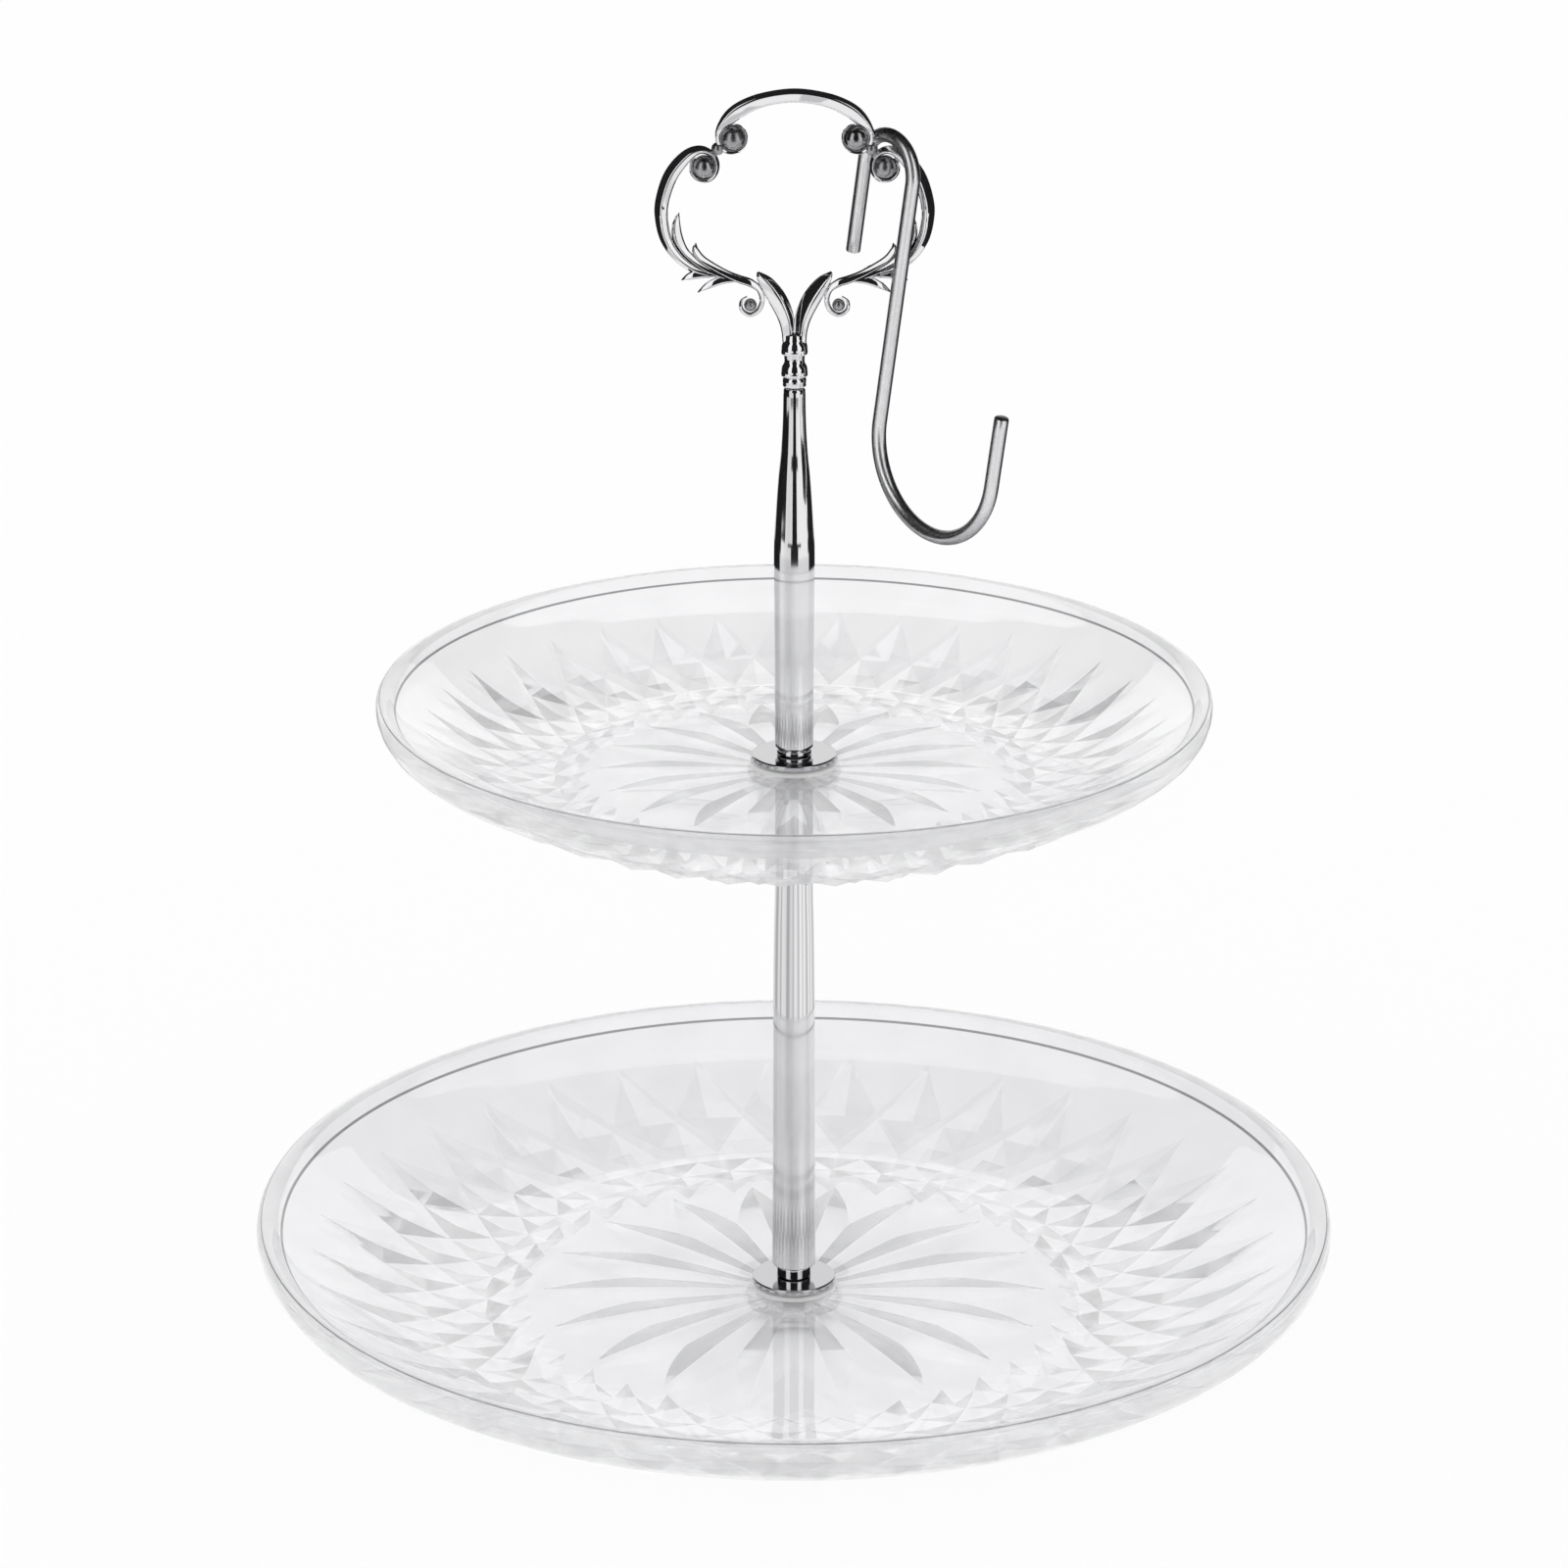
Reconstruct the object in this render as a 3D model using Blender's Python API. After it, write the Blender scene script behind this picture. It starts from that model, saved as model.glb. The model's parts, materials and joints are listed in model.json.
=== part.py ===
"""Two-tier cake stand: two clear pressed plates on a chromed centre post, with a cast scroll
handle on top and a wire hook hung on the handle.

Metres, +Z up. The origin is on the post's axis, at the level that the lower plate stands on.
The handle's ring lies in the XZ plane. Every screwed joint turns about the Z axis.
"""

import math

import bmesh
import bpy
from mathutils import Matrix, Vector

MM = 0.001

# Clearances: between touching pieces, and round a thread in its hole.
GAP = 0.3 * MM
THREAD_GAP = 0.3 * MM

# Plates: rim radius and height over the foot. The other plate sizes follow from these.
LOWER_RADIUS = 130 * MM
LOWER_HEIGHT = 31 * MM
LOWER_KICK = 5.2 * MM  # how far the middle of the underside is raised over the foot
UPPER_RADIUS = 98 * MM
UPPER_HEIGHT = 25.8 * MM
UPPER_KICK = 3.8 * MM
UPPER_FOOT_Z = 136.7 * MM  # level of the upper plate's foot
PLATE_FLOOR = 3.3 * MM
PLATE_HOLE = 3.2 * MM

# Metal washers and soft gaskets on both faces of each plate.
WASHER_RADIUS = 10.1 * MM
WASHER_THICK = 1.4 * MM
GASKET_RADIUS = 10.6 * MM
GASKET_THICK = 1.0 * MM

# Centre post: two chromed tubes, joined by a stud through the upper plate.
UPPER_TUBE_RADIUS = 4.55 * MM
UPPER_TUBE_BULGE = 4.75 * MM
UPPER_TUBE_NECK = 2.6 * MM
LOWER_TUBE_TOP = 4.5 * MM
LOWER_TUBE_FOOT = 5.3 * MM
UPPER_NECK_RISE = 1.3 * MM  # bare collar between the upper tube and its washer
LOWER_NECK_RISE = 2.8 * MM
TOP_COLLAR_RISE = 1.0 * MM
COLLAR_RADIUS = 3.85 * MM
INSERT_LENGTH = 12 * MM
STUD_RADIUS = 2.4 * MM
SCREW_HEAD_RADIUS = 5.0 * MM
SCREW_HEAD_THICK = 1.6 * MM

# Handle casting, a scroll ring over a two-beaded neck.
NECK_Z = 236.5 * MM  # underside of the casting, on the upper tube's end
BEAD_RADIUS = 3.1 * MM
CASTING_DEPTH = 3.6 * MM
HANDLE_STUD_RADIUS = 1.5 * MM
HANDLE_STUD_REACH = 9.0 * MM

# Wire hook: an uneven S. It hangs over the ring's right shoulder and leans on the arm below.
WIRE_RADIUS = 1.7 * MM
SMALL_LOOP = 8.3 * MM  # radii of the two loops, to the middle of the wire
BIG_LOOP = 19.6 * MM
HOOK_STEM = 58.9 * MM
SHORT_LEG = 23.0 * MM
LONG_LEG = 17.4 * MM
SHOULDER_X = 21.4 * MM
SHOULDER_Z = 293.6 * MM
HOOK_TURN = math.radians(50)  # turn of the hook's plane from the ring's plane
HOOK_LEAN = math.radians(10.5)  # lean that brings the stem against the ring's arm

PLATE_SEGMENTS = 72
POST_SEGMENTS = 32
THREAD_SEGMENTS = 20

# Levels that follow from the sizes above.
LOWER_FLOOR_Z = LOWER_KICK + PLATE_FLOOR
LOWER_WASHER_Z = LOWER_FLOOR_Z + GASKET_THICK + 2 * GAP
LOWER_COLLAR_Z = LOWER_WASHER_Z + WASHER_THICK + GAP
LOWER_TUBE_Z = LOWER_COLLAR_Z + LOWER_NECK_RISE
UPPER_UNDERSIDE_Z = UPPER_FOOT_Z + UPPER_KICK
UPPER_FLOOR_Z = UPPER_UNDERSIDE_Z + PLATE_FLOOR
UPPER_WASHER_Z = UPPER_FLOOR_Z + GASKET_THICK + 2 * GAP
UPPER_COLLAR_Z = UPPER_WASHER_Z + WASHER_THICK + GAP
UPPER_TUBE_Z = UPPER_COLLAR_Z + UPPER_NECK_RISE
SUPPORT_WASHER_Z = UPPER_UNDERSIDE_Z - GASKET_THICK - WASHER_THICK - 2 * GAP
LOWER_TUBE_END_Z = SUPPORT_WASHER_Z - GAP - TOP_COLLAR_RISE
UPPER_TUBE_END_Z = NECK_Z - GAP


def clear_scene():
    for obj in list(bpy.data.objects):
        bpy.data.objects.remove(obj, do_unlink=True)


def make_material(name, colour, roughness, metallic=0.0, alpha=1.0):
    material = bpy.data.materials.new(name)
    material.use_nodes = True
    shader = material.node_tree.nodes["Principled BSDF"]
    shader.inputs["Base Color"].default_value = (*colour, 1.0)
    shader.inputs["Roughness"].default_value = roughness
    shader.inputs["Metallic"].default_value = metallic
    shader.inputs["Alpha"].default_value = alpha
    return material


def add_object(name, bm, material):
    """Turns a bmesh into an object with its faces pointing out and its round faces smooth."""
    bmesh.ops.recalc_face_normals(bm, faces=bm.faces)
    mesh = bpy.data.meshes.new(name)
    bm.to_mesh(mesh)
    bm.free()
    mesh.materials.append(material)
    mesh.shade_smooth()
    mesh.set_sharp_from_angle(angle=math.radians(35))
    obj = bpy.data.objects.new(name, mesh)
    bpy.context.scene.collection.objects.link(obj)
    return obj


def filleted(outline, steps=2):
    """Rounds the corners of a closed outline whose points are (radius, height, fillet)."""
    points = []
    for i, (r, z, fillet) in enumerate(outline):
        here = Vector((r, z))
        if fillet == 0:
            points.append(here)
            continue
        back = (Vector(outline[i - 1][:2]) - here).normalized()
        ahead = (Vector(outline[(i + 1) % len(outline)][:2]) - here).normalized()
        half = back.angle(ahead) / 2
        centre = here + (back + ahead).normalized() * fillet / math.sin(half)
        start = here + back * fillet / math.tan(half) - centre
        sweep = start.angle_signed(here + ahead * fillet / math.tan(half) - centre)
        for step in range(steps + 1):
            points.append(centre + Matrix.Rotation(-sweep * step / steps, 2) @ start)
    return points


def turned(name, outline, material, segments=POST_SEGMENTS):
    """Turns a closed outline about the Z axis. Points on the axis become single vertices."""
    points = filleted(outline)
    bm = bmesh.new()
    rings = []
    for r, z in points:
        if r < 1e-7:
            rings.append([bm.verts.new((0, 0, z))] * segments)
            continue
        turns = [2 * math.pi * k / segments for k in range(segments)]
        rings.append([bm.verts.new((r * math.cos(a), r * math.sin(a), z)) for a in turns])
    for i, ring in enumerate(rings):
        after = rings[(i + 1) % len(rings)]
        for k in range(segments):
            j = (k + 1) % segments
            corners = list(dict.fromkeys((ring[k], ring[j], after[j], after[k])))
            if len(corners) > 2:
                bm.faces.new(corners)
    return add_object(name, bm, material)


def disc(name, inner, outer, low, thick, edge, material, segments=POST_SEGMENTS):
    """A flat ring standing on the level low, with its outer corners rounded by edge."""
    high = low + thick
    outline = [(inner, low, 0), (outer, low, edge), (outer, high, edge), (inner, high, 0)]
    return turned(name, outline, material, segments)


def plate(name, radius, height, kick, foot_z, material):
    """A shallow dish: flat floor, upswept wall, bevelled lip, and a foot under the cut ring.

    The middle of the underside is raised by kick, and the foot is a flat ring round it.
    """
    floor = kick + PLATE_FLOOR
    rise = height - floor
    outline = [
        (PLATE_HOLE, kick, 0),
        (0.49 * radius, kick, 0),
        (0.51 * radius, 0, 0),
        (0.60 * radius, 0, 0),
        (0.71 * radius, 0.09 * height, 0),
        (0.83 * radius, 0.33 * height, 0),
        (0.92 * radius, 0.53 * height, 0),
        (0.975 * radius, 0.71 * height, 0),
        (radius, 0.86 * height, 0),
        (radius, 0.95 * height, 0),
        (radius - 1.7 * MM, height, 0),
        (0.953 * radius, floor + 0.84 * rise, 0),
        (0.90 * radius, floor + 0.63 * rise, 0),
        (0.80 * radius, floor + 0.34 * rise, 0),
        (0.70 * radius, floor + 0.14 * rise, 0),
        (0.60 * radius, floor + 0.035 * rise, 0),
        (0.50 * radius, floor, 0),
        (PLATE_HOLE, floor, 0),
    ]
    placed = [(r, foot_z + z, fillet) for r, z, fillet in outline]
    return turned(name, placed, material, PLATE_SEGMENTS)


def gasket_pair(tier, floor_z, underside_z, clear):
    """The soft gaskets on both faces of one plate."""
    bore = STUD_RADIUS + THREAD_GAP
    disc(f"{tier}_top_gasket", bore, GASKET_RADIUS, floor_z + GAP, GASKET_THICK, 0, clear)
    low = underside_z - GAP - GASKET_THICK
    disc(f"{tier}_under_gasket", bore, GASKET_RADIUS, low, GASKET_THICK, 0, clear)


def washer(name, low, chrome):
    bore = STUD_RADIUS + THREAD_GAP
    return disc(name, bore, WASHER_RADIUS, low, WASHER_THICK, 0.4 * MM, chrome)


def insert(name, end_z, rise, direction, steel):
    """A threaded sleeve pressed into a tube's end, with a bare collar standing out of it.

    end_z is the collar's outer face. direction is +1 where the tube is above that face.
    """
    shank = COLLAR_RADIUS - 0.45 * MM
    bore = STUD_RADIUS + THREAD_GAP
    shoulder = end_z + direction * (rise - GAP)
    inner_end = end_z + direction * (rise + INSERT_LENGTH)
    outline = [
        (bore, end_z, 0),
        (COLLAR_RADIUS, end_z, 0.2 * MM),
        (COLLAR_RADIUS, shoulder, 0),
        (shank, shoulder, 0),
        (shank, inner_end, 0),
        (bore, inner_end, 0),
    ]
    return turned(name, outline, steel)


def lower_post(chrome):
    """A tube that thickens a little towards its foot, with both ends rolled in."""
    low, high = LOWER_TUBE_Z, LOWER_TUBE_END_Z
    bore = COLLAR_RADIUS - 0.15 * MM
    shoulder_z = low + 0.58 * (high - low)
    outline = [
        (bore, low, 0),
        (LOWER_TUBE_FOOT, low, 0.6 * MM),
        (LOWER_TUBE_FOOT - 0.2 * MM, low + 24 * MM, 0),
        (LOWER_TUBE_FOOT - 0.3 * MM, shoulder_z, 0),
        (LOWER_TUBE_TOP, low + 0.84 * (high - low), 0),
        (LOWER_TUBE_TOP, high, 0.5 * MM),
        (bore, high, 0),
    ]
    return turned("lower_post", outline, chrome)


def upper_post(chrome):
    """A tube that swells, then is drawn down to a slim neck which takes the handle's stud."""
    low, high = UPPER_TUBE_Z, UPPER_TUBE_END_Z
    bore = COLLAR_RADIUS - 0.15 * MM
    neck_bore = HANDLE_STUD_RADIUS + THREAD_GAP
    outside = [
        (UPPER_TUBE_RADIUS, low, 0.6 * MM),
        (UPPER_TUBE_RADIUS, high - 58 * MM, 0),
        (UPPER_TUBE_BULGE - 0.1 * MM, high - 49 * MM, 0),
        (UPPER_TUBE_BULGE, high - 40 * MM, 0),
        (4.5 * MM, high - 33 * MM, 0),
        (4.1 * MM, high - 26.5 * MM, 0),
        (3.6 * MM, high - 20 * MM, 0),
        (3.05 * MM, high - 14 * MM, 0),
        (2.72 * MM, high - 7.5 * MM, 0),
        (UPPER_TUBE_NECK, high, 0.2 * MM),
    ]
    inside = [
        (neck_bore, high, 0),
        (neck_bore, high - 12 * MM, 0),
        (bore, high - 32 * MM, 0),
        (bore, low, 0),
    ]
    return turned("upper_post", outside + inside, chrome)


def threaded_rod(name, radius, low, high, steel):
    end = 0.4 * MM
    outline = [
        (0, low, 0),
        (radius - end, low, 0),
        (radius, low + end, 0),
        (radius, high - end, 0),
        (radius - end, high, 0),
        (0, high, 0),
    ]
    return turned(name, outline, steel, THREAD_SEGMENTS)


def base_screw(steel):
    """A pan-head screw, driven up from below with a cross slot in its head."""
    head_top = LOWER_KICK - 3 * GAP - GASKET_THICK - WASHER_THICK
    head_low = head_top - SCREW_HEAD_THICK
    tip = LOWER_TUBE_Z + INSERT_LENGTH
    outline = [
        (0, head_low, 0),
        (SCREW_HEAD_RADIUS - 1.2 * MM, head_low, 0),
        (SCREW_HEAD_RADIUS, head_low + 0.9 * MM, 0),
        (SCREW_HEAD_RADIUS, head_top, 0),
        (STUD_RADIUS, head_top, 0),
        (STUD_RADIUS, tip - 0.6 * MM, 0),
        (STUD_RADIUS - 0.6 * MM, tip, 0),
        (0, tip, 0),
    ]
    screw = turned("base_screw", outline, steel, THREAD_SEGMENTS)
    cutter = cross_prism("cross_slot", 2.3 * MM, 0.45 * MM, head_low - 1 * MM, 1.8 * MM, steel)
    modifier = screw.modifiers.new("cross_slot", "BOOLEAN")
    modifier.operation = "DIFFERENCE"
    modifier.object = cutter
    return screw


def hide_helper(obj):
    obj.hide_render = True
    obj.display_type = "WIRE"


def cross_prism(name, reach, half_width, low, depth, material):
    """An upright prism whose section is a cross, to cut a screw's slot."""
    w, r = half_width, reach
    quarter = [(w, r), (w, w), (r, w)]
    turns = [Matrix.Rotation(-math.pi / 2 * k, 2) for k in range(4)]
    section = [turn @ Vector(point) for turn in turns for point in quarter]
    bm = bmesh.new()
    floor = [bm.verts.new((x, y, low)) for x, y in section]
    face = bm.faces.new(floor)
    sides = bmesh.ops.extrude_face_region(bm, geom=[face])
    raised = [item for item in sides["geom"] if isinstance(item, bmesh.types.BMVert)]
    bmesh.ops.translate(bm, verts=raised, vec=(0, 0, depth))
    cutter = add_object(name, bm, material)
    hide_helper(cutter)
    return cutter


def smooth_line(points, steps):
    """A Catmull-Rom curve through points of any dimension, as a list of tuples."""
    padded = [points[0], *points, points[-1]]
    line = []
    for a, b, c, d in zip(padded, padded[1:], padded[2:], padded[3:]):
        for step in range(steps):
            t = step / steps
            line.append(tuple(
                0.5 * (2 * q + (r - p) * t + (2 * p - 5 * q + 4 * r - s) * t**2
                       + (3 * q - p - 3 * r + s) * t**3)
                for p, q, r, s in zip(a, b, c, d)
            ))
    line.append(tuple(points[-1]))
    return line


def bar(name, path, depth, material, steps=2, sides=8):
    """A flattened round bar in the XZ plane through points of (x, z, width)."""
    line = smooth_line(path, steps)
    bm = bmesh.new()
    rings = []
    for i, (x, z, width) in enumerate(line):
        before, after = line[max(i - 1, 0)], line[min(i + 1, len(line) - 1)]
        along = Vector((after[0] - before[0], 0, after[1] - before[1])).normalized()
        across = Vector((-along.z, 0, along.x))
        thick = min(depth, 0.5 * depth + width)
        ring = []
        for k in range(sides):
            a = 2 * math.pi * (k + 0.5) / sides
            offset = across * math.cos(a) * width / 2 + Vector((0, math.sin(a) * thick / 2, 0))
            ring.append(bm.verts.new(Vector((x, 0, z)) + offset))
        rings.append(ring)
    for ring, after in zip(rings, rings[1:]):
        for k in range(sides):
            j = (k + 1) % sides
            bm.faces.new((ring[k], ring[j], after[j], after[k]))
    bm.faces.new(rings[0])
    bm.faces.new(rings[-1])
    obj = add_object(name, bm, material)
    hide_helper(obj)
    return obj


def ball(name, centre, radius, material):
    bm = bmesh.new()
    bmesh.ops.create_uvsphere(bm, u_segments=12, v_segments=8, radius=radius)
    obj = add_object(name, bm, material)
    obj.location = centre
    hide_helper(obj)
    return obj


def mm_path(points):
    return [tuple(value * MM for value in point) for point in points]


def mirrored(points):
    return [(-x, z, width) for x, z, width in points]


# The right half of the ring, as (x, z, width) in millimetres.
ARC = [(0, 304.6, 3.4), (6, 304.2, 3.4), (11.4, 302.2, 3.5), (15.4, 298.9, 3.0),
       (16.5, 295.2, 2.3), (15.2, 292.2, 1.8), (12.9, 291.6, 1.2)]
LOBE = [(18.0, 287.0, 1.2), (17.6, 289.6, 1.6), (18.8, 291.6, 2.0), (21.6, 292.2, 2.3),
        (25.6, 290.4, 2.7), (28.9, 285.4, 2.8), (30.2, 278.4, 2.8), (28.6, 272.2, 2.9),
        (24.8, 267.4, 2.6), (19.5, 264.0, 2.3), (13.0, 262.1, 2.0), (7.4, 261.2, 2.0)]
WING = [(1.2, 246.4, 3.4), (1.9, 251.0, 3.7), (3.2, 255.4, 4.2), (5.2, 259.4, 3.9),
        (7.2, 262.2, 2.2), (8.4, 263.8, 0.6)]
CURL = [(8.0, 261.0, 1.4), (7.4, 258.0, 1.5), (8.0, 255.0, 1.5), (10.2, 253.4, 1.5),
        (12.3, 254.9, 1.3), (12.0, 257.2, 1.2), (10.4, 256.9, 1.2)]
LEAVES = {
    "inner_high": [(27.9, 271.2, 1.8), (26.5, 274.6, 1.8), (26.0, 278.2, 0.5)],
    "inner_low": [(23.9, 266.2, 1.6), (22.7, 268.8, 1.5), (22.4, 271.4, 0.5)],
    "outer_high": [(20.5, 264.9, 1.8), (23.0, 264.6, 1.4), (25.2, 263.6, 0.5)],
    "outer_low": [(15.5, 262.9, 1.8), (18.6, 262.0, 1.5), (21.4, 260.5, 0.5)],
}
BALLS = {"arc_ball": (13.6, 295.0, 3.1), "lobe_ball": (20.2, 288.8, 2.9),
         "curl_ball": (10.2, 256.3, 1.4), "link": (17.5, 292.3, 1.6)}


def casting_parts(chrome):
    """Every bar and ball of the ring, both halves, as helpers for one union."""
    parts = []
    bars = {"lobe": LOBE, "wing": WING, "curl": CURL, **LEAVES}
    for side, flip in (("right", list), ("left", mirrored)):
        for name, points in bars.items():
            depth = CASTING_DEPTH * (1.2 if name == "wing" else 1.0)
            parts.append(bar(f"{name}_{side}", mm_path(flip(points)), depth, chrome))
        for name, (x, z, radius) in BALLS.items():
            x = x if side == "right" else -x
            parts.append(ball(f"{name}_{side}", (x * MM, 0, z * MM), radius * MM, chrome))
    whole_arc = mirrored(ARC)[:0:-1] + ARC
    parts.append(bar("arc", mm_path(whole_arc), CASTING_DEPTH, chrome))
    return parts


def handle_casting(chrome):
    """The beaded neck, with the ring's bars and balls united to it and a hole for the stud."""
    outline = [
        (0, NECK_Z, 0),
        (2.75 * MM, NECK_Z, 0.2 * MM),
        (2.9 * MM, NECK_Z + 1.8 * MM, 0),
        (BEAD_RADIUS, NECK_Z + 2.2 * MM, 0.3 * MM),
        (BEAD_RADIUS, NECK_Z + 5.0 * MM, 0.6 * MM),
        (2.5 * MM, NECK_Z + 5.3 * MM, 0),
        (2.5 * MM, NECK_Z + 6.8 * MM, 0),
        (BEAD_RADIUS, NECK_Z + 7.1 * MM, 0.6 * MM),
        (BEAD_RADIUS, NECK_Z + 10.3 * MM, 0.6 * MM),
        (2.4 * MM, NECK_Z + 10.8 * MM, 0),
        (2.2 * MM, NECK_Z + 14.0 * MM, 0),
        (0, NECK_Z + 15.0 * MM, 0),
    ]
    casting = turned("handle_casting", outline, chrome)
    for part in casting_parts(chrome):
        modifier = casting.modifiers.new(part.name, "BOOLEAN")
        modifier.operation = "UNION"
        modifier.use_self = True
        modifier.object = part
    bore = HANDLE_STUD_RADIUS + THREAD_GAP
    depth = HANDLE_STUD_REACH + GAP
    cutter = threaded_rod("stud_hole", bore, NECK_Z - depth, NECK_Z + depth, chrome)
    hide_helper(cutter)
    modifier = casting.modifiers.new("stud_hole", "BOOLEAN")
    modifier.operation = "DIFFERENCE"
    modifier.object = cutter
    return casting


def arc_points(centre, radius, start, end, steps):
    turns = [start + (end - start) * k / steps for k in range(steps + 1)]
    return [(centre[0] + radius * math.cos(a), centre[1] + radius * math.sin(a)) for a in turns]


def s_hook(steel):
    """A bent wire. Its origin is the middle of the small loop, where it swings on the ring."""
    outline = [(-SMALL_LOOP, -SHORT_LEG)]
    outline += arc_points((0, 0), SMALL_LOOP, math.pi, 0, 12)
    big_centre = (SMALL_LOOP + BIG_LOOP, -HOOK_STEM)
    outline += arc_points(big_centre, BIG_LOOP, math.pi, 2 * math.pi, 18)
    outline.append((SMALL_LOOP + 2 * BIG_LOOP, -HOOK_STEM + LONG_LEG))
    curve = bpy.data.curves.new("s_hook", "CURVE")
    curve.dimensions = "3D"
    curve.bevel_depth = WIRE_RADIUS
    curve.bevel_resolution = 2
    curve.use_fill_caps = True
    spline = curve.splines.new("POLY")
    spline.points.add(len(outline) - 1)
    for point, (x, z) in zip(spline.points, outline):
        point.co = (x, 0, z, 1)
    curve.materials.append(steel)
    hook = bpy.data.objects.new("s_hook", curve)
    loop_z = SHOULDER_Z + WIRE_RADIUS - SMALL_LOOP
    turn = Matrix.Rotation(-HOOK_TURN, 4, "Z") @ Matrix.Rotation(HOOK_LEAN, 4, "Y")
    hook.matrix_world = Matrix.Translation((SHOULDER_X, 0, loop_z)) @ turn
    bpy.context.scene.collection.objects.link(hook)
    return hook


def build_posts(chrome, steel):
    lower_post(chrome)
    upper_post(chrome)
    insert("lower_post_foot_insert", LOWER_COLLAR_Z, LOWER_NECK_RISE, 1, chrome)
    insert("lower_post_top_insert", SUPPORT_WASHER_Z - GAP, TOP_COLLAR_RISE, -1, chrome)
    insert("upper_post_foot_insert", UPPER_COLLAR_Z, UPPER_NECK_RISE, 1, chrome)
    reach = INSERT_LENGTH - 1 * MM
    threaded_rod("tie_stud", STUD_RADIUS, LOWER_TUBE_END_Z - reach, UPPER_TUBE_Z + reach, steel)
    stud_low, stud_high = NECK_Z - HANDLE_STUD_REACH, NECK_Z + HANDLE_STUD_REACH
    threaded_rod("handle_stud", HANDLE_STUD_RADIUS, stud_low, stud_high, steel)
    base_screw(steel)


def build():
    clear_scene()
    chrome = make_material("chrome", (0.82, 0.82, 0.84), 0.06, metallic=1.0)
    steel = make_material("steel", (0.62, 0.62, 0.64), 0.3, metallic=1.0)
    wire = make_material("satin_steel", (0.68, 0.68, 0.69), 0.28, metallic=1.0)
    crystal = make_material("clear_plastic", (0.93, 0.93, 0.95), 0.04, alpha=0.4)
    soft = make_material("clear_gasket", (0.9, 0.9, 0.9), 0.3, alpha=0.6)

    plate("lower_plate", LOWER_RADIUS, LOWER_HEIGHT, LOWER_KICK, 0, crystal)
    plate("upper_plate", UPPER_RADIUS, UPPER_HEIGHT, UPPER_KICK, UPPER_FOOT_Z, crystal)
    gasket_pair("lower", LOWER_FLOOR_Z, LOWER_KICK, soft)
    gasket_pair("upper", UPPER_FLOOR_Z, UPPER_UNDERSIDE_Z, soft)
    washer("base_washer", LOWER_KICK - 2 * GAP - GASKET_THICK - WASHER_THICK, chrome)
    washer("lower_flange_washer", LOWER_WASHER_Z, chrome)
    washer("upper_support_washer", SUPPORT_WASHER_Z, chrome)
    washer("upper_flange_washer", UPPER_WASHER_Z, chrome)
    build_posts(chrome, steel)
    handle_casting(chrome)
    s_hook(wire)


build()
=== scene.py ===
"""The looks of the two-tier cake stand: cut clear plates, chromed post and handle, wire hook."""

import json
import math

import bmesh
import bpy
from mathutils import Matrix, Vector


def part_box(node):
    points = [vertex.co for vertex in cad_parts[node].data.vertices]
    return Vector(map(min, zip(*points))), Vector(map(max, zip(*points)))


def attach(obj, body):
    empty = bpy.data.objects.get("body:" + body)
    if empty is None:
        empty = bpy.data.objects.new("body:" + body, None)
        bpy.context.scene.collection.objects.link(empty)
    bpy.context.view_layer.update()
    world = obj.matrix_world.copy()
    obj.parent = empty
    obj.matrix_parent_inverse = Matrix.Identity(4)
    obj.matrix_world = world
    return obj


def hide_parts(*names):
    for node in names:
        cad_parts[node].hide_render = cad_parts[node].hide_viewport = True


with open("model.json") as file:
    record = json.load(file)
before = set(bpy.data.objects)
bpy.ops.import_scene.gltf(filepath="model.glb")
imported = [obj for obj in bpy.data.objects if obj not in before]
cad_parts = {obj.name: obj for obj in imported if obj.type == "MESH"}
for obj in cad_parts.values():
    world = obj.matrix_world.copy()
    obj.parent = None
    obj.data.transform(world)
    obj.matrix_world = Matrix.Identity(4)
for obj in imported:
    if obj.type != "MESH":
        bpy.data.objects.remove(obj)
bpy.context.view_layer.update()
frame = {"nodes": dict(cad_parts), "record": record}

MM = 0.001

# The cut pattern on the plates' undersides.
TEETH = 36
PETALS = 18
PATTERN_TURN = math.radians(2.5)

# Rings of the diamond lattice, as fractions of the plate's radius. Every other ring is turned
# by half a tooth. The last one holds the darts' tips.
LATTICE = (0.497, 0.535, 0.578, 0.631, 0.696, 0.781, 0.923)
POINT_PAST = 0.12  # how far a diamond's point lies past its widest ring, of the way to the next
DART_CURVE = 1.2  # how the darts' sides bow inwards

# The underside's outer envelope, as (fraction of radius, fraction of height).
ENVELOPE = (
    (0.52, 0.0), (0.60, 0.0), (0.646, 0.032), (0.692, 0.087), (0.731, 0.155), (0.769, 0.232),
    (0.831, 0.339), (0.885, 0.455), (0.938, 0.571), (0.977, 0.694), (0.995, 0.806), (1.0, 0.903),
)
CUT_DEPTH = 0.050  # of the height, between the diamonds' points and the grooves
CUT_FADE = 0.80  # fraction of radius past which the grooves grow shallower

# The smooth upper face: a flat floor, then a wall that curves up to the rim.
FLOOR_EDGE = 0.508  # fraction of radius
WALL_EDGE = 0.953
WALL_TOP = 0.884  # of the height
WALL_CURVE = 2.24

# The star of V-shaped flutes, in fractions of radius.
STAR_INNER, STAR_OUTER = 0.07, 0.47
PETAL_MIDDLE, PETAL_REACH = 0.27, 0.20
PETAL_DEPTH = 0.062  # of the height
FLUTE_SLOPE = math.tan(math.radians(15))

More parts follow.
